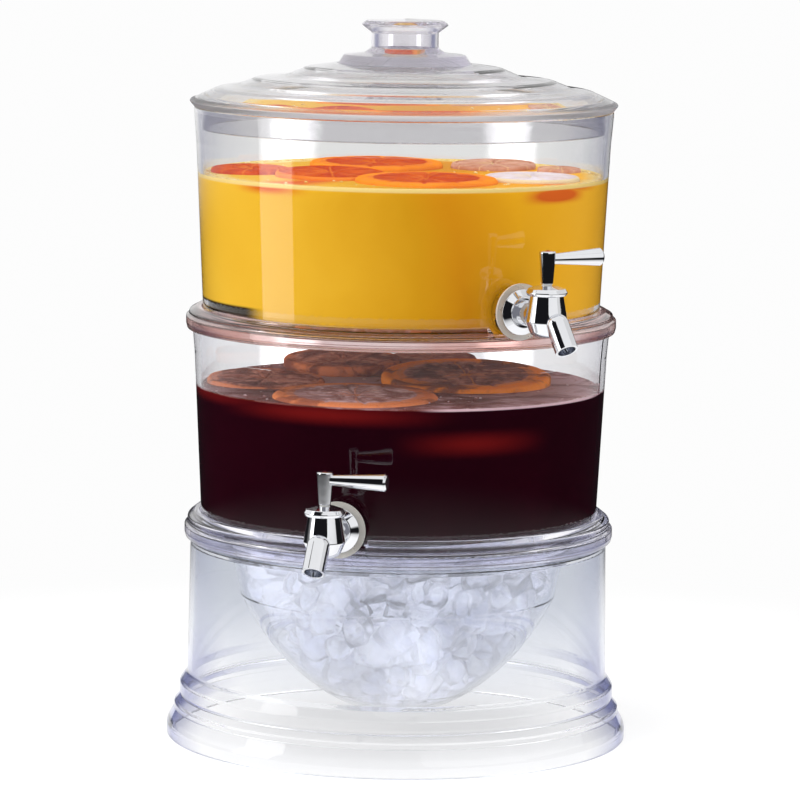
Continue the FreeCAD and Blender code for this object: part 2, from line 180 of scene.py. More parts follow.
def soft_box(name, bearing, distance, height, width, length, watts, tint, aim=0.2):
    """An area lamp that faces the dispenser. It lights, and has no reflection of its own."""
    lamp = bpy.data.lights.new(name, "AREA")
    lamp.shape = "RECTANGLE"
    lamp.size = width
    lamp.size_y = length
    lamp.energy = watts
    lamp.color = tint
    box = bpy.data.objects.new(name, lamp)
    scene.collection.objects.link(box)
    turn = math.radians(bearing)
    box.location = (distance * math.sin(turn), -distance * math.cos(turn), height)
    box.rotation_mode = "QUATERNION"
    box.rotation_quaternion = (Vector((0, 0, aim)) - box.location).to_track_quat("-Z", "Y")
    box.visible_camera = False
    box.visible_glossy = False
    box.visible_transmission = False


soft_box("left_soft_box", -62, 1.6, 0.75, 0.9, 1.3, 14.0, (1.0, 0.98, 0.95))
soft_box("right_soft_box", 60, 1.9, 0.6, 0.8, 1.2, 8.0, (0.97, 0.98, 1.0))
soft_box("top_soft_box", 0, 0.25, 1.7, 1.4, 1.4, 15.0, (1.0, 1.0, 1.0))

black = (0.010, 0.010, 0.012)
inside_grey = (0.26, 0.26, 0.29)
lavender = (0.34, 0.35, 0.48)
paper_white = (1, 1, 1)
upper_grey = (0.8, 0.8, 0.8)
bright_band = (2.4, 2.4, 2.4)
back_glare = (2.2, 2.2, 2.2)
card_steps = 24


def card(name, bearings, distances, heights, colour, fade=None, soft_sides=False, shiny=True, in_glass=False):
    """A curved card between two bearings, for reflections or for what clear plastic bends into view. A fade
    is an axis (0 = distance, 2 = height), where it starts and ends, and the colour that it comes from.
    Light that has gone round inside clear plastic finds no card darker than grey."""
    material, tree, output = blank_material(name)
    spot = own_spot(tree)
    axes = split(tree, spot)
    shown = add(tree, "ShaderNodeRGB").outputs[0]
    shown.default_value = (*colour, 1)
    if fade:
        axis, start, end, first = fade
        along = axes[2] if axis == 2 else length_of(tree, spot)
        shown = mixed(tree, soft_step(tree, along, start, end), first, shown)
    if soft_sides:
        middle, half = math.radians(sum(bearings) / 2), math.radians((bearings[1] - bearings[0]) / 2)
        shown = mixed(tree, hump(tree, bearing_of(tree, axes), middle, half, 0.4), backdrop_white, shown)
    deep = work(tree, "GREATER_THAN", add(tree, "ShaderNodeLightPath").outputs["Ray Depth"], 1.5)
    shown = mixed(tree, deep, shown, inside_grey, blend_type="LIGHTEN")
    shine = add(tree, "ShaderNodeEmission", {"Color": shown, "Strength": 1.0})
    tree.links.new(shine.outputs[0], output.inputs["Surface"])
    span = bearings[1] - bearings[0]
    turns = [math.radians(bearings[0] + span * i / card_steps) for i in range(card_steps + 1)]
    vertices = [(r * math.sin(a), -r * math.cos(a), z) for r, z in zip(distances, heights) for a in turns]
    faces = [(i, i + 1, i + card_steps + 2, i + card_steps + 1) for i in range(card_steps)]
    made = mesh_object(name, vertices, faces, material)
    made.visible_camera = False
    made.visible_diffuse = False
    made.visible_shadow = False
    made.visible_glossy = shiny
    made.visible_transmission = in_glass


card_ring = (1.25, 1.25)
card_rise = (0.004, 1.5)
rising = (2, 0.16, 0.34, black)
card("floor_dark_card", (-180, 180), (0.42, 1.4), (0.004, 0.004), black, (0, 0.42, 0.85, paper_white))
card("front_black_card", (-74, 14), card_ring, card_rise, black)
card("left_band_card", (-83, -61), (1.2, 1.2), (0.03, 1.1), bright_band, (2, 0.03, 0.07, black),
     in_glass=True)
card("left_white_card", (-180, -74), card_ring, card_rise, paper_white, rising)
card("right_white_card", (14, 66), card_ring, card_rise, paper_white, rising)
card("right_black_card", (66, 180), card_ring, (0.004, 0.42), black)
card("right_upper_card", (66, 180), card_ring, (0.42, 1.5), upper_grey)
for side, bearings in (("left", (-176.3, -172.9)), ("right", (173.4, 176.4))):
    card(f"{side}_back_light", bearings, (1.3, 1.3), (0.05, 0.42), back_glare, soft_sides=True,
         shiny=False, in_glass=True)
for side, bearings in (("left", (-164, -90)), ("right", (90, 164))):
    card(f"{side}_back_flag", bearings, (1.4, 1.4), (0.0, 0.9), lavender, (2, 0.03, 0.25, paper_white),
         soft_sides=True, in_glass=True)


# The base is an open pedestal injection-moulded in clear plastic, with a beaded foot. Like
# every clear piece it keeps a faint ripple from the mould and the marks of hands and cloths.
def new_group(name, inputs, outputs):
    """A node group with number inputs, and outputs given as their names and kinds."""
    tree = bpy.data.node_groups.new(name, "ShaderNodeTree")
    for label, value in inputs:
        socket = tree.interface.new_socket(label, in_out="INPUT", socket_type="NodeSocketFloat")
        socket.default_value = value
    for label, kind in outputs:
        tree.interface.new_socket(label, in_out="OUTPUT", socket_type=kind)
    return tree, tree.nodes.new("NodeGroupInput").outputs, tree.nodes.new("NodeGroupOutput").inputs


def mottle(tree, spot, scale, detail, **inputs):
    """A cloudy pattern of light and dark patches."""
    return add(tree, "ShaderNodeTexNoise",
               {"Vector": spot, "Scale": scale, "Detail": detail, **inputs}).outputs[0]


def spread(tree, value, low, high, first=0.0, last=1.0):
    """The stretch of a value from low to high, spread evenly over another stretch."""
    return add(tree, "ShaderNodeMapRange", {"Value": value, "From Min": low, "From Max": high,
                                            "To Min": first, "To Max": last}).outputs[0]


def relief(tree, height, distance, strength=1.0):
    """The normal of a surface with small ups and downs."""
    return add(tree, "ShaderNodeBump",
               {"Strength": strength, "Distance": distance, "Height": height}).outputs[0]


marks_tree, marks_in, marks_out = new_group(
    "mould ripple and hand marks",
    [("Ripple Scale", 30.0), ("Ripple Height", 0.00005), ("Least Roughness", 0.0), ("Most Roughness", 0.04)],
    [("Cloud", "NodeSocketFloat"), ("Roughness", "NodeSocketFloat"), ("Normal", "NodeSocketVector")])
marks_spot = own_spot(marks_tree)
ripple = mottle(marks_tree, marks_spot, marks_in["Ripple Scale"], 2.0, Roughness=0.4)
smear = mottle(marks_tree, marks_spot, 22.0, 5.0, Distortion=0.6)
cloud = mottle(marks_tree, marks_spot, 11.0, 3.0, Distortion=0.8)
for mark, label in (
        (spread(marks_tree, cloud, 0.38, 0.62), "Cloud"),
        (spread(marks_tree, smear, 0.48, 0.72, marks_in["Least Roughness"], marks_in["Most Roughness"]),
         "Roughness"),
        (relief(marks_tree, ripple, marks_in["Ripple Height"]), "Normal")):
    marks_tree.links.new(mark, marks_out[label])


bond_thickness = 0.00005
cement_roughness = 0.8
parting_roughness = 0.5
plastic_index = 1.49
through_to_lamps = (0.985, 0.985, 0.99)


def clear_plastic(name, tint, other_tint, edge_tint, edge_from, ripple_scale, ripple_height, roughness,
                  low=None, edge_to=0.97, bond=None, dull_beyond=None):
    """Clear moulded plastic, deeper in tint where it is seen edge on. Lamps shine through it. A low part can
    have other tints: the clear one, the one on edge, and the heights where the change starts and ends.
    A bonded face, given by its height and radius, is dull from the cement, and so is an edge that
    lies beyond a radius, where the mould's halves met."""
    material, tree, output = blank_material(name)
    marks = add(tree, "ShaderNodeGroup", {}, node_tree=marks_tree)
    for label, value in (("Ripple Scale", ripple_scale), ("Ripple Height", ripple_height),
                         ("Least Roughness", 0.0), ("Most Roughness", roughness)):
        marks.inputs[label].default_value = value
    turned_away = add(tree, "ShaderNodeLayerWeight", {"Blend": 0.5}).outputs["Facing"]
    clear, deep = mixed(tree, marks.outputs["Cloud"], tint, other_tint), edge_tint
    spot = own_spot(tree)
    height = split(tree, spot)["Z"]
    if low:
        low_tint, low_edge, start, end = low
        lowness = soft_step(tree, height, start, end)
        clear, deep = mixed(tree, lowness, clear, low_tint), mixed(tree, lowness, edge_tint, low_edge)
    rough = marks.outputs["Roughness"]
    off_axis = add(tree, "ShaderNodeVectorMath", {0: spot, 1: (1, 1, 0)}, operation="MULTIPLY").outputs[0]
    radius = length_of(tree, off_axis)
    if bond:
        level, reach = bond
        off_level = work(tree, "ABSOLUTE", work(tree, "SUBTRACT", height, level))
        bonded = work(tree, "MULTIPLY", work(tree, "LESS_THAN", radius, reach),
                      work(tree, "LESS_THAN", off_level, bond_thickness))
        rough = work(tree, "MAXIMUM", rough, work(tree, "MULTIPLY", bonded, cement_roughness))
    if dull_beyond:
        parting = work(tree, "GREATER_THAN", radius, dull_beyond)
        rough = work(tree, "MAXIMUM", rough, work(tree, "MULTIPLY", parting, parting_roughness))
    plastic = add(tree, "ShaderNodeBsdfPrincipled",
                  {"Base Color": mixed(tree, spread(tree, turned_away, edge_from, edge_to), clear, deep),
                   "IOR": plastic_index, "Transmission Weight": 1.0, "Roughness": rough,
                   "Normal": marks.outputs["Normal"]})
    path = add(tree, "ShaderNodeLightPath").outputs
    from_lamp = work(tree, "MAXIMUM", path["Is Shadow Ray"], path["Is Diffuse Ray"])
    open_way = add(tree, "ShaderNodeBsdfTransparent", {"Color": through_to_lamps})
    mix = add(tree, "ShaderNodeMixShader", {0: from_lamp, 1: plastic.outputs[0], 2: open_way.outputs[0]})
    tree.links.new(mix.outputs[0], output.inputs["Surface"])
    return material


def dress(node, material):
    """Gives a CAD node its material."""
    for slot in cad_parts[node].material_slots:
        slot.material = material


# Painted light and shade on the foot: a lighter clear tint at its front, and a deep blue shade where it is
# seen edge on at its ends.
foot_painted_light_tints = ((0.94, 0.945, 0.955), (0.16, 0.18, 0.44), 0.075, 0.030)
dress("base", clear_plastic("base plastic", (0.775, 0.795, 0.84), (0.755, 0.78, 0.83), (0.66, 0.69, 0.80),
                            0.46, 14.0, 0.00008, 0.03, foot_painted_light_tints, 0.78))


# The ice bowl hangs in the base by its flange. It is thin clear plastic, blown smooth inside,
# and holds broken ice cubes, which have half melted together.
def coat(tree, output, inputs):
    """The one shader of a material, linked to its output."""
    shader = add(tree, "ShaderNodeBsdfPrincipled", inputs)
    tree.links.new(shader.outputs[0], output.inputs["Surface"])


def colour_ramp(tree, value, stops):
    """A colour that changes with a value, from its stops."""
    ramp = add(tree, "ShaderNodeValToRGB", {"Fac": value})
    tones = ramp.color_ramp.elements
    for place, tone in stops[1:-1]:
        tones.new(place).color = (*tone, 1)
    for end in (0, -1):
        tones[end].position = stops[end][0]
        tones[end].color = (*stops[end][1], 1)
    return ramp.outputs[0]


dress("ice_bowl", clear_plastic("bowl plastic", (0.96, 0.965, 0.98), (0.95, 0.955, 0.98), (0.84, 0.86, 0.93),
                                0.5, 20.0, 0.00006, 0.05))
ice_material, ice_tree, ice_output = blank_material("ice")
ice_spot = own_spot(ice_tree)
ice_cloud = mottle(ice_tree, ice_spot, 60.0, 4.0, Distortion=1.2)
ice_crack = add(ice_tree, "ShaderNodeTexVoronoi", {"Vector": ice_spot, "Scale": 150.0}, feature="SMOOTH_F1")
ice_glow_drift = mottle(ice_tree, ice_spot, 24.0, 2.0, Distortion=0.6)
# The ice's emission is painted light: a faint patchy glow that stands in for light scattered inside the ice.
coat(ice_tree, ice_output, {
    "Base Color": colour_ramp(ice_tree, ice_cloud, ((0.34, (0.86, 0.87, 0.93)), (0.56, (0.98, 0.98, 0.99)))),
    "IOR": 1.31, "Transmission Weight": 0.88,
    "Roughness": spread(ice_tree, ice_cloud, 0.35, 0.65, 0.05, 0.22),
    "Normal": relief(ice_tree, ice_crack.outputs[0], 0.0015, 0.6),
    "Emission Color": (0.90, 0.91, 0.97),
    "Emission Strength": spread(ice_tree, ice_glow_drift, 0.36, 0.62, 0.07, 0.20)})

bowl_low, bowl_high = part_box("ice_bowl")
ice_low = bowl_low.z + 0.0035
ice_high = bowl_high.z + 0.002
# Inside radius of the bowl over its height, less a little room
bowl_inside = ((0.0035, 0.004), (0.006, 0.020), (0.011, 0.034), (0.021, 0.0505), (0.031, 0.0624),
               (0.041, 0.072), (0.051, 0.0799), (0.061, 0.0864), (0.071, 0.0918), (0.081, 0.0956),
               (0.111, 0.1010), (0.130, 0.1015))


def bowl_radius(height):
    """The bowl's inside radius at a height over its lowest point."""
    for (z0, r0), (z1, r1) in zip(bowl_inside, bowl_inside[1:]):
        if height <= z1:
            return r0 + (r1 - r0) * max(0.0, height - z0) / (z1 - z0)
    return bowl_inside[-1][1]


def ice_chunk(centre, size, turn, seed):
    """A lumpy cube of ice as vertices and faces."""
    steps = 4
    vertices, index, faces = [], {}, []

    def vertex(key):
        if key not in index:
            p = Vector(key) * (2 / steps) - Vector((1, 1, 1))
            p = p.lerp(p.normalized() * 1.25, 0.45)
            p += noise.noise_vector(p * 0.8 + Vector((seed, seed * 0.7, 0))) * 0.34
            p += noise.noise_vector(p * 2.2 + Vector((seed, 0, seed))) * 0.10
            index[key] = len(vertices)
            vertices.append(turn @ Vector((p.x * size.x, p.y * size.y, p.z * size.z)) + centre)
        return index[key]

    for axis in range(3):
        for side in (0, steps):
            for a in range(steps):
                for b in range(steps):
                    corners = []
                    for da, db in ((0, 0), (1, 0), (1, 1), (0, 1)):
                        key = [0, 0, 0]
                        key[axis] = side
                        key[(axis + 1) % 3] = a + da
                        key[(axis + 2) % 3] = b + db
                        corners.append(vertex(tuple(key)))
                    faces.append(corners if side else corners[::-1])
    return vertices, faces


chunk_count, most_tries = 260, 60000
chunk_least, chunk_most = 0.0060, 0.0145
ice_seed = 7
# Without a seed, the noise that shapes the chunks would follow the clock
noise.seed_set(ice_seed)
draw = random.Random(ice_seed)
placed = []
tries = 0
while len(placed) < chunk_count and tries < most_tries:
    tries += 1
    half = draw.uniform(chunk_least, chunk_most)
    z = draw.uniform(ice_low + half * 0.7, ice_high)
    room = bowl_radius(z - bowl_low.z - half * 0.6) - half * 0.85
    if room <= 0:
        continue
    by_wall = draw.random() < 0.7
    reach = room * (draw.uniform(0.94, 1.0) if by_wall else math.sqrt(draw.random()))
    turn = draw.uniform(0, math.tau)
    centre = Vector((reach * math.cos(turn), reach * math.sin(turn), z))
    if all((centre - other).length > 0.66 * (half + other_half) for other, other_half in placed):
        placed.append((centre, half))
ice_vertices, ice_faces = [], []
for number, (centre, half) in enumerate(placed):
    turn = Euler([draw.uniform(0, math.tau) for _ in range(3)]).to_matrix()
    size = Vector([half * draw.uniform(0.62, 1.1) for _ in range(3)])
    chunk_vertices, chunk_faces = ice_chunk(centre, size, turn, number * 3.1)
    first = len(ice_vertices)
    for p in chunk_vertices:
        limit = bowl_radius(p.z - bowl_low.z)
        reach = math.hypot(p.x, p.y)
        if reach > limit:
            p.x *= limit / reach
            p.y *= limit / reach
        p.z = max(p.z, ice_low)
        ice_vertices.append(p)
    ice_faces += [[first + i for i in face] for face in chunk_faces]
ice = mesh_object("ice", ice_vertices, ice_faces, ice_material)
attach(ice, "ice_bowl")


# Two stacking rings, moulded in the same clear plastic. Each sits over a rim by its skirt and seats a tank in
# its collar. The upper one is tinted pink-brown: a painted reflection of the drinks.
for tier, tint, other_tint, edge_tint in (
        ("lower", (0.93, 0.92, 0.97), (0.90, 0.89, 0.95), (0.58, 0.56, 0.72)),
        ("upper", (0.90, 0.79, 0.78), (0.84, 0.64, 0.60), (0.35, 0.14, 0.125))):
    dress(f"{tier}_stacking_ring", clear_plastic(f"{tier} ring plastic", tint, other_tint, edge_tint,
                                                 0.5, 16.0, 0.00005, 0.03))


# Two tanks, tapered tubs with a thicker band round the rim, in clear plastic that is polished
# inside and out. Each stands in a ring's collar, and the lid's skirt fits in the upper one.
for tank, name, tint, other_tint, edge_tint in (
        ("lower_tank", "tank plastic", (0.955, 0.955, 0.965), (0.945, 0.945, 0.96), (0.74, 0.73, 0.80)),
        ("upper_tank", "upper tank plastic", (0.90, 0.90, 0.895), (0.885, 0.885, 0.885), (0.70, 0.70, 0.76))):
    dress(tank, clear_plastic(name, tint, other_tint, edge_tint, 0.55, 9.0, 0.00007, 0.02))


# The upper tank's drink: cloudy orange juice up to the top of the plain wall, with a rim of
# pulp and froth where it meets the tank.
def turned_mesh(name, profile, segments, material):
    """A solid of revolution from its outline of (radius, height), which starts and ends on the axis."""
    turns = [math.tau * i / segments for i in range(segments)]
    vertices = [(0, 0, profile[0][1])]
    vertices += [(radius * math.cos(a), radius * math.sin(a), z)
                 for radius, z in profile[1:-1] for a in turns]
    vertices.append((0, 0, profile[-1][1]))
    last = len(vertices) - 1
    rings = len(profile) - 2
    faces = []
    for i in range(segments):
        j = (i + 1) % segments
        faces.append((0, 1 + j, 1 + i))
        for k in range(rings - 1):
            low = 1 + k * segments
            faces.append((low + i, low + j, low + segments + j, low + segments + i))
        faces.append((1 + (rings - 1) * segments + i, 1 + (rings - 1) * segments + j, last))
    return mesh_object(name, vertices, faces, material)


tank_inside_foot = 0.1195
tank_inside_lean = 0.04909
tank_corner = 0.005
tank_floor = 0.0025
into_wall = 0.00012


def drink_outline(tank_bottom, surface):
    """The outline of a drink that fills a tank up to a surface height, wetting its wall."""
    floor_z = tank_bottom + tank_floor - into_wall
    foot = tank_inside_foot + into_wall
    outline = [(0, floor_z)]
    outline += [(foot * i / 6, floor_z) for i in range(1, 6)]
    for i in range(7):
        turn = math.radians(90 * i / 6)
        outline.append((foot - tank_corner + tank_corner * math.sin(turn),
                        floor_z + tank_corner * (1 - math.cos(turn))))
    for i in range(1, 13):
        z = floor_z + tank_corner + (surface - floor_z - tank_corner) * i / 12
        outline.append((foot + tank_inside_lean * (z - floor_z), z))
    wall = outline[-1][0]
    for inset, rise in ((0.0003, 0.0009), (0.0009, 0.0006), (0.0018, 0.0002), (0.0032, 0.0)):
        outline.append((wall - inset, surface + rise))
    outline += [(wall * i / 24, surface) for i in range(23, 0, -1)]
    outline.append((0, surface))
    return outline


def painted_fruit_glow(tree, axes, surface, places):
    """Where fruit lies close behind the wall: partly its colour through the drink, partly a painted glow of
    light. Bearing and its reach, depth and its reach, strength.
    """
    turned = bearing_of(tree, axes)
    mask = 0.0
    for turn, turn_reach, drop, drop_reach, amount in places:
        across_glow = hump(tree, turned, math.radians(turn), math.radians(turn_reach))
        down_glow = hump(tree, axes["Z"], surface - drop, drop_reach)
        both = work(tree, "MULTIPLY", across_glow, down_glow)
        mask = work(tree, "MAXIMUM", mask, work(tree, "MULTIPLY", both, amount))
    return mask


drink_segments = 160
upper_tank_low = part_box("upper_tank")[0].z
juice_surface = upper_tank_low + 0.0872
juice_material, juice_tree, juice_output = blank_material("orange juice")
juice_spot = own_spot(juice_tree)
juice_axes = split(juice_tree, juice_spot)
juice_cloud = mottle(juice_tree, juice_spot, 9.0, 4.0, Distortion=0.4)
# Painted light and shade: the juice is lighter towards its left and right sides and darker in the middle, on
# top of a random cloudy tone.
juice_tone_and_shading = work(juice_tree, "ADD", spread(juice_tree, juice_axes["X"], -0.12, 0.12),
                   spread(juice_tree, juice_cloud, 0.35, 0.65, -0.08, 0.08))
juice_colour = colour_ramp(juice_tree, juice_tone_and_shading, (
    (0.0, (0.88, 0.52, 0.045)), (0.33, (0.77, 0.41, 0.023)), (0.5, (0.67, 0.32, 0.011)),
    (0.65, (0.70, 0.28, 0.009)), (0.8, (0.90, 0.43, 0.016)), (1.0, (0.92, 0.47, 0.035))))
# Painted glow: reddish patches under the surface, partly the fruit's colour and partly light coming through
# the juice.
juice_painted_glow = painted_fruit_glow(juice_tree, juice_axes, juice_surface,
                        ((48, 15, 0.0050, 0.0062, 2.0), (-40, 16, 0.0015, 0.006, 1.2),
                         (58, 14, 0.0005, 0.005, 1.0)))
juice_colour = mixed(juice_tree, juice_painted_glow, juice_colour, (0.72, 0.13, 0.02), clamp_factor=True)
# Painted shade: a dark line low at the left, where the tank's rounded corner is
juice_shade_top, juice_shade_bottom = upper_tank_low + 0.0125, upper_tank_low + 0.0108
juice_bearing = bearing_of(juice_tree, juice_axes)
juice_painted_shade = work(juice_tree, "MULTIPLY",
                  hump(juice_tree, juice_bearing, math.radians(-66), math.radians(25), 0.6),
                  soft_step(juice_tree, juice_axes["Z"], juice_shade_top, juice_shade_bottom))
juice_colour = mixed(juice_tree, juice_painted_shade, juice_colour, (0.030, 0.022, 0.014))
juice_flat = add(juice_tree, "ShaderNodeCombineXYZ", {0: juice_axes["X"], 1: juice_axes["Y"]}).outputs[0]
juice_ragged = work(juice_tree, "ADD", length_of(juice_tree, juice_flat),
                    work(juice_tree, "MULTIPLY", mottle(juice_tree, juice_spot, 70.0, 4.0), 0.02))
juice_rim = work(juice_tree, "MULTIPLY",
                 soft_step(juice_tree, juice_axes["Z"], juice_surface - 0.0022, juice_surface - 0.0010),
                 soft_step(juice_tree, juice_ragged, 0.118, 0.130))
coat(juice_tree, juice_output, {"Base Color": mixed(juice_tree, juice_rim, juice_colour, (0.84, 0.62, 0.22)),
                                "Roughness": 0.35, "IOR": 1.01})
juice = turned_mesh("orange_juice", drink_outline(upper_tank_low, juice_surface), drink_segments,
                    juice_material)
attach(juice, "upper_tank")


# The lower tank's drink: dark red sangria, nearly black in depth, with a painted red glow where light gets
# in. Its surface carries a pale film of fruit with a painted reflection, and a painted highlight, a bright
# line where it climbs the wall at the right.
lower_tank_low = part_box("lower_tank")[0].z
sangria_surface = lower_tank_low + 0.0862
sangria_material, sangria_tree, sangria_output = blank_material("sangria")
sangria_spot = own_spot(sangria_tree)
sangria_axes = split(sangria_tree, sangria_spot)
sangria_deep = colour_ramp(sangria_tree, mottle(sangria_tree, sangria_spot, 14.0, 3.0),
                           ((0.0, (0.008, 0.0008, 0.0028)), (1.0, (0.022, 0.0012, 0.005))))
# Painted glow: red patches under the surface, where light comes through the wine over fruit.
sangria_painted_glow = painted_fruit_glow(sangria_tree, sangria_axes, sangria_surface,
                          ((-75, 60, 0.001, 0.0065, 0.45), (-22, 42, 0.004, 0.0085, 0.62),
                           (22, 26, 0.0205, 0.010, 0.55), (150, 60, 0.004, 0.012, 0.8)))
sangria_body = mixed(sangria_tree, sangria_painted_glow, sangria_deep, (0.22, 0.010, 0.008))
# The pale top is partly a film of fruit and partly a painted reflection: a pale patch left of the middle, and
# paler towards the right.
sangria_film = mottle(sangria_tree, sangria_spot, 30.0, 5.0, Roughness=0.6, Distortion=1.0)
painted_reflection_patch = work(sangria_tree, "MULTIPLY", hump(sangria_tree, sangria_axes["X"], -0.035, 0.05),
                  hump(sangria_tree, sangria_axes["Y"], 0.02, 0.05))
film_and_reflection_paler = work(sangria_tree, "ADD", spread(sangria_tree, sangria_axes["X"], 0.03, 0.11, 0.0, 0.16),
                  work(sangria_tree, "MULTIPLY", 0.30, painted_reflection_patch))
sangria_top = colour_ramp(sangria_tree, work(sangria_tree, "ADD", sangria_film, film_and_reflection_paler), (
    (0.36, (0.10, 0.016, 0.011)), (0.52, (0.19, 0.06, 0.052)), (0.70, (0.44, 0.26, 0.29))))
film_depth, film_edge = 0.0002, 0.00005
on_top = soft_step(sangria_tree, sangria_axes["Z"], sangria_surface - film_depth, sangria_surface - film_edge)
sangria_colour = mixed(sangria_tree, on_top, sangria_body, sangria_top)
# Painted highlight: a pale pinkish line along the wall at the right, where the surface climbs it.
# Of all the surface, only the band that climbs the wall lies this far from the coordinates' middle
highlight_from, highlight_to = 0.2505, 0.2512
sangria_painted_highlight = work(
    sangria_tree, "MULTIPLY",
    soft_step(sangria_tree, sangria_axes["Z"], sangria_surface - 0.0010, sangria_surface - 0.0003),
    hump(sangria_tree, bearing_of(sangria_tree, sangria_axes), math.radians(40), math.radians(36), 0.7))
sangria_painted_highlight = work(sangria_tree, "MULTIPLY", sangria_painted_highlight,
                    soft_step(sangria_tree, length_of(sangria_tree, sangria_spot), highlight_from, highlight_to))
coat(sangria_tree, sangria_output,
     {"Base Color": mixed(sangria_tree, sangria_painted_highlight, sangria_colour, (0.62, 0.42, 0.46)),
      "Roughness": 0.06, "IOR": 1.004})
sangria = turned_mesh("sangria", drink_outline(lower_tank_low, sangria_surface), drink_segments,
                      sangria_material)
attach(sangria, "lower_tank")


# Slices of orange and grapefruit float in both drinks. Each is cut across the fruit: peel, white
# pith and wedges of pulp between thin skins, which stand a little proud where the juice drains.
section_tree, section_in, section_out = new_group(
    "fruit section", [("Radius", 0.04), ("Wedges", 10.0)],
    [("Pulp", "NodeSocketFloat"), ("Peel", "NodeSocketFloat"), ("Grain", "NodeSocketFloat")])


def section_work(operation, a, b=0.0):
    """A sum in the fruit's group."""
    return work(section_tree, operation, a, b)


section_spot = own_spot(section_tree)
section_axes = split(section_tree, section_spot)
section_reach = section_work("SQRT", section_work("ADD", section_work("POWER", section_axes["X"], 2.0),
                                                  section_work("POWER", section_axes["Y"], 2.0)))
section_wander = mottle(section_tree, section_spot, 45.0, 2.0)
section_turn = section_work("ADD", section_work("ARCTAN2", section_axes["Y"], section_axes["X"]),
                            section_work("MULTIPLY", section_wander, 0.35))
wedge_part = section_work("FRACT", section_work("MULTIPLY", section_turn,
                                                section_work("DIVIDE", section_in["Wedges"], math.tau)))
from_skin = section_work("SUBTRACT", 0.5, section_work("ABSOLUTE", section_work("SUBTRACT", wedge_part, 0.5)))
skin_gap = section_work("MULTIPLY", section_work("MULTIPLY", from_skin, section_reach),
                        section_work("DIVIDE", math.tau, section_in["Wedges"]))
share = section_work("DIVIDE", section_reach, section_in["Radius"])
off_skin = section_work("MAXIMUM", soft_step(section_tree, skin_gap, 0.0002, 0.0008), 0.45)
off_pith = section_work("MULTIPLY", soft_step(section_tree, share, 0.86, 0.83),
                        soft_step(section_tree, share, 0.05, 0.10))
grain_place = add(section_tree, "ShaderNodeCombineXYZ", {0: section_work("MULTIPLY", section_turn, 14.0),
                                                         1: section_work("MULTIPLY", section_reach, 110.0)})
grain = add(section_tree, "ShaderNodeTexVoronoi", {"Vector": grain_place.outputs[0], "Scale": 1.6},
            feature="SMOOTH_F1")
for mark, label in ((section_work("MULTIPLY", off_skin, off_pith), "Pulp"),
                    (soft_step(section_tree, share, 0.93, 0.955), "Peel"), (grain.outputs[0], "Grain")):
    section_tree.links.new(mark, section_out[label])


def fruit_material(name, pulp_dark, pulp_light, pith, peel, radius, wedges, stain=0.0, stained=None):
    """The cut face and peel of a fruit slice, in the slice's own coordinates, with patches under drink."""
    material, tree, output = blank_material(name)
    section = add(tree, "ShaderNodeGroup", {}, node_tree=section_tree)
    section.inputs["Radius"].default_value = radius
    section.inputs["Wedges"].default_value = wedges
    spot = own_spot(tree)
    blotch = soft_step(tree, mottle(tree, spot, 170.0, 4.0, Distortion=0.5), 0.40, 0.60)
    bruise = soft_step(tree, mottle(tree, spot, 65.0, 3.0, Distortion=1.0), 0.40, 0.62)
    patch = work(tree, "ADD", work(tree, "MULTIPLY", section.outputs["Grain"], 0.3),
                 work(tree, "MULTIPLY", blotch, 0.3))
    patch = work(tree, "ADD", patch, work(tree, "MULTIPLY", bruise, 0.5))
    inside = mixed(tree, section.outputs["Pulp"], pith, mixed(tree, patch, pulp_dark, pulp_light))
    colour = mixed(tree, section.outputs["Peel"], inside, peel)
    if stain:
        wash = mottle(tree, spot, 38.0, 4.0, Roughness=0.65, Distortion=0.7)
        washed = work(tree, "MULTIPLY", soft_step(tree, wash, 0.44, 0.60), stain)
        colour = mixed(tree, washed, colour, stained)
    coat(tree, output, {"Base Color": colour, "Roughness": 0.3, "IOR": 1.004,
                        "Normal": relief(tree, section.outputs["Grain"], 0.0006, 0.5)})
    return material


slice_wedges = 10
steps_a_wedge = 10
pith_depth = 0.0012
wedge_rise = 0.0010
skin_slope = 0.0012
peel_drop = 0.0004
peel_rounding = 0.0016


def fruit_slice(name, radius, thickness, wedges, material):
    """A slice with raised wedges on both faces, a sunk pith and a rounded peel."""
    around, rings = wedges * steps_a_wedge, 16
    sunk_face = thickness / 2 - pith_depth
    vertices, faces = [], []
    for side in (1, -1):
        vertices.append((0, 0, side * sunk_face))
        for k in range(1, rings + 1):
            reach = radius * (1 - (1 - k / rings) ** 1.25)
            for i in range(around):
                part = (i % steps_a_wedge) / steps_a_wedge
                turn = math.tau * i / around
                skin = min(part, 1 - part) * math.tau / wedges * reach
                wedge = min(1.0, skin / skin_slope) * (0.1 < reach / radius < 0.84)
                height = sunk_face + wedge_rise * wedge
                if reach / radius > 0.9:
                    rounding = max(0.0, (reach / radius - 0.95) / 0.05) ** 2
                    height = thickness / 2 - peel_drop - peel_rounding * rounding
                vertices.append((reach * math.cos(turn), reach * math.sin(turn), side * height))
    half = 1 + rings * around
    for side in (0, 1):
        base = side * half
        for i in range(around):
            j = (i + 1) % around
            corner = (base, base + 1 + i, base + 1 + j)
            faces.append(corner if side == 0 else corner[::-1])
            for k in range(rings - 1):
                low = base + 1 + k * around
                quad = (low + i, low + around + i, low + around + j, low + j)
                faces.append(quad if side == 0 else quad[::-1])
    edge = 1 + (rings - 1) * around
    for i in range(around):
        j = (i + 1) % around
        faces.append((edge + i, half + edge + i, half + edge + j, edge + j))
    return mesh_object(name, vertices, faces, material)


slice_step_turn = 4.5


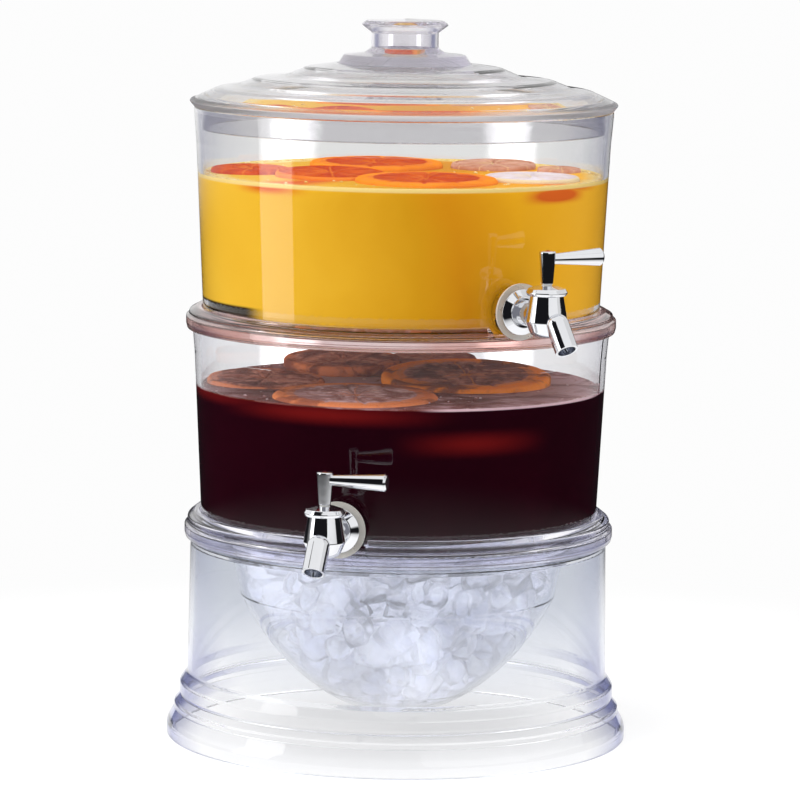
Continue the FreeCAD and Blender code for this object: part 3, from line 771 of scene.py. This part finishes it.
def float_slices(drink, body, surface, thickness, slices, material_of):
    """Slices on a drink's surface, each given as its middle, radius, sinking, lean and which way, and kind.
    Each is turned on from the one before, so that no two show their wedges alike."""
    for number, (x, y, radius, sinking, lean, lean_turn, kind) in enumerate(slices, 1):
        piece = fruit_slice(f"{drink}_slice_{number}", radius, thickness, slice_wedges, material_of[kind])
        tip = Matrix.Rotation(math.radians(lean_turn), 4, "Z") @ Matrix.Rotation(math.radians(lean), 4, "X")
        piece.matrix_world = (Matrix.Translation((x, y, surface - sinking)) @ tip
                              @ Matrix.Rotation(number * slice_step_turn, 4, "Z"))
        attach(piece, body)


fruit = {kind: fruit_material(name, *tones) for kind, name, *tones in (
    ("orange", "orange slice", (0.46, 0.022, 0.001), (0.72, 0.095, 0.004), (0.86, 0.24, 0.02),
     (0.95, 0.28, 0.008), 0.038, 10, 0.35, (0.66, 0.12, 0.004)),
    ("pink", "grapefruit slice", (0.52, 0.20, 0.10), (0.70, 0.38, 0.28), (0.78, 0.50, 0.26),
     (0.80, 0.48, 0.10), 0.038, 10),
    ("pale", "pomelo slice", (0.70, 0.55, 0.55), (0.82, 0.74, 0.80), (0.84, 0.68, 0.42),
     (0.80, 0.48, 0.10), 0.032, 10),
    ("steeped", "orange slice steeped in wine", (0.24, 0.05, 0.030), (0.66, 0.30, 0.23), (0.56, 0.19, 0.11),
     (0.66, 0.20, 0.08), 0.036, 10, 0.85, (0.15, 0.035, 0.028)),
    ("fresh", "orange slice fresh in wine", (0.12, 0.022, 0.012), (0.60, 0.27, 0.21), (0.70, 0.22, 0.05),
     (0.84, 0.24, 0.012), 0.046, 12, 0.85, (0.13, 0.035, 0.028)),
    ("soaked", "orange slice soaked pale", (0.34, 0.13, 0.12), (0.80, 0.58, 0.62), (0.72, 0.26, 0.13),
     (0.78, 0.24, 0.08), 0.044, 10, 0.70, (0.20, 0.045, 0.034)))}
float_slices("juice", "upper_tank", juice_surface, 0.0055, (
    (-0.094, 0.000, 0.025, -0.0004, 2, 15, "orange"),
    (-0.017, 0.058, 0.042, -0.0010, 1, 0, "orange"),
    (-0.044, -0.026, 0.034, -0.0008, 2, 12, "orange"),
    (0.014, -0.060, 0.043, -0.0004, 1, -8, "orange"),
    (0.057, 0.058, 0.027, -0.0010, 2, -20, "pink"),
    (0.078, -0.034, 0.029, -0.0004, 1, 10, "pale"),
    (0.098, 0.034, 0.014, -0.0002, 2, 30, "pink"),
), fruit)
float_slices("sangria", "lower_tank", sangria_surface, 0.0080, (
    (0.041, 0.014, 0.053, -0.0025, 4, 0, "fresh"),
    (0.020, 0.083, 0.029, -0.0045, 3, -20, "steeped"),
    (-0.027, -0.064, 0.050, 0.0014, 1, 10, "soaked"),
    (-0.084, 0.006, 0.037, 0.0008, 3, 20, "steeped"),
    (-0.037, 0.073, 0.038, -0.0045, 3, 0, "steeped"),
), fruit)


# Froth: beads of air that gather where each drink meets its tank, with a few stray ones between
# the slices. Each is a low dome of the drink's own colour, paler where it is thin.
def froth(name, body, count, surface, least, most, near_wall, turns, material):
    """Beads on a drink, as low domes, most of them by the wall and between two bearings."""
    scatter = random.Random(name)
    vertices, faces = [], []
    for _ in range(count):
        size = scatter.uniform(least, most)
        by_wall = scatter.random() < near_wall
        off_wall = abs(scatter.gauss(0, 0.0012)) if by_wall else scatter.uniform(0.004, 0.09)
        reach = froth_wall - size - off_wall
        turn = math.radians(scatter.uniform(*turns) if by_wall else scatter.uniform(0, 360))
        centre = Vector((reach * math.sin(turn), -reach * math.cos(turn), surface))
        first = len(vertices)
        vertices.append(centre + Vector((0, 0, size * 0.8)))
        for k in (1, 2, 3):
            lean = math.radians(30 * k)
            vertices += [centre + size * Vector((math.sin(lean) * math.cos(math.tau * i / 8),
                                                 math.sin(lean) * math.sin(math.tau * i / 8),
                                                 0.8 * math.cos(lean))) for i in range(8)]
        vertices.append(centre - Vector((0, 0, size * 0.3)))
        for i in range(8):
            j = (i + 1) % 8
            faces.append((first, first + 1 + i, first + 1 + j))
            for k in (0, 1):
                low = first + 1 + 8 * k
                faces.append((low + i, low + 8 + i, low + 8 + j, low + j))
            faces.append((first + 17 + i, first + 25, first + 17 + j))
    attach(mesh_object(name, vertices, faces, material), body)


def froth_material(name, pale, dark):
    """Beads of a drink's froth, paler where they are thin."""
    material, tree, output = blank_material(name)
    thin = mottle(tree, own_spot(tree), 350.0, 2.0)
    coat(tree, output, {"Base Color": mixed(tree, soft_step(tree, thin, 0.4, 0.6), pale, dark),
                        "Roughness": 0.2, "IOR": 1.2, "Normal": relief(tree, thin, 0.0002, 0.4)})
    return material


juice_froth = froth_material("juice froth", (0.90, 0.74, 0.40), (0.78, 0.50, 0.10))
sangria_froth = froth_material("sangria froth", (0.66, 0.48, 0.50), (0.30, 0.10, 0.09))
# The tanks are one mould, and filled nearly alike: one wall radius serves both drinks
froth_wall = tank_inside_foot + tank_inside_lean * (juice_surface - upper_tank_low - tank_floor)
froth("juice_froth", "upper_tank", 520, juice_surface, 0.0005, 0.0014, 0.8, (0, 360), juice_froth)
froth("sangria_froth", "lower_tank", 300, sangria_surface, 0.0004, 0.0011, 0.6, (5, 75), sangria_froth)
froth("sangria_froth_behind", "lower_tank", 160, sangria_surface, 0.0004, 0.0010, 0.8, (75, 360),
      sangria_froth)


# The lid, a thin clear dome in three waves with a skirt inside the tank's rim, and the
# spool-shaped knob, moulded by itself and bonded on the lid.
knob_low, knob_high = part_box("lid_knob")
knob_bond = (knob_low.z, knob_high.x + 0.0005)
lid_low, lid_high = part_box("lid")
# Painted shade: the skirt, which sits inside the tank's rim, is tinted darker grey than the dome.
skirt_painted_shade_tints = ((0.71, 0.70, 0.73), (0.54, 0.53, 0.57), lid_low.z + 0.017, lid_low.z + 0.013)
dress("lid", clear_plastic("lid plastic", (0.82, 0.81, 0.83), (0.79, 0.79, 0.78), (0.36, 0.36, 0.41), 0.60,
                           12.0, 0.00006, 0.03, skirt_painted_shade_tints, bond=knob_bond, dull_beyond=lid_high.x - 0.003))
dress("lid_knob", clear_plastic("knob plastic", (0.84, 0.83, 0.86), (0.80, 0.78, 0.80), (0.60, 0.58, 0.62),
                                0.5, 12.0, 0.00006, 0.03, bond=knob_bond))


# The taps: brass castings, levers, caps and flanges plated with bright chrome, a white plastic
# valve plug and nut, and rubber washers and seal. The nut clamps each through its tank's wall.
chrome_material, chrome_tree, chrome_output = blank_material("chrome plate")
chrome_spot = own_spot(chrome_tree)
chrome_cloud = mottle(chrome_tree, chrome_spot, 90.0, 4.0)
coat(chrome_tree, chrome_output, {
    "Base Color": mixed(chrome_tree, chrome_cloud, (0.84, 0.85, 0.87), (0.76, 0.77, 0.80)), "Metallic": 1.0,
    "Roughness": spread(chrome_tree, chrome_cloud, 0.35, 0.75, 0.02, 0.07),
    "Normal": relief(chrome_tree, mottle(chrome_tree, chrome_spot, 160.0, 1.0), 0.00002)})


def moulded(name, dark, light, least_rough, most_rough, grain_scale, grain_height, transmission=0.0):
    """Rubber or dull plastic, with a faint grain and a tone that wanders."""
    material, tree, output = blank_material(name)
    spot = own_spot(tree)
    tone = mottle(tree, spot, 120.0, 4.0)
    coat(tree, output, {
        "Base Color": mixed(tree, tone, dark, light), "IOR": 1.42, "Transmission Weight": transmission,
        "Roughness": spread(tree, tone, 0.3, 0.7, least_rough, most_rough),
        "Normal": relief(tree, mottle(tree, spot, grain_scale, 2.0), grain_height)})
    return material


silicone = moulded("silicone", (0.90, 0.86, 0.79), (0.96, 0.93, 0.88), 0.25, 0.40, 900.0, 0.00003, 0.45)
white_plastic = moulded("white plastic", (0.76, 0.76, 0.73), (0.86, 0.86, 0.84), 0.30, 0.45, 700.0, 0.00003)
black_rubber = moulded("black rubber", (0.015, 0.015, 0.016), (0.035, 0.035, 0.036), 0.45, 0.65,
                       1100.0, 0.00004)
tap_finishes = ((chrome_material, ("body", "bonnet", "lever", "flange")),
                (silicone, ("outer_washer", "inner_washer")),
                (white_plastic, ("lock_nut", "valve_plug")), (black_rubber, ("stem_seal",)))
for tier in ("lower", "upper"):
    for material, parts in tap_finishes:
        for part in parts:
            dress(f"{tier}_tap_{part}", material)


# How the picture is worked out: enough bounces to see through both walls of a tank and a bowl
# of ice, and a clean-up of the grain.
scene.cycles.max_bounces = 36
scene.cycles.diffuse_bounces = 3
scene.cycles.glossy_bounces = 16
scene.cycles.transmission_bounces = 28
scene.cycles.transparent_max_bounces = 24
scene.cycles.caustics_reflective = False
scene.cycles.caustics_refractive = False
scene.cycles.use_denoising = True
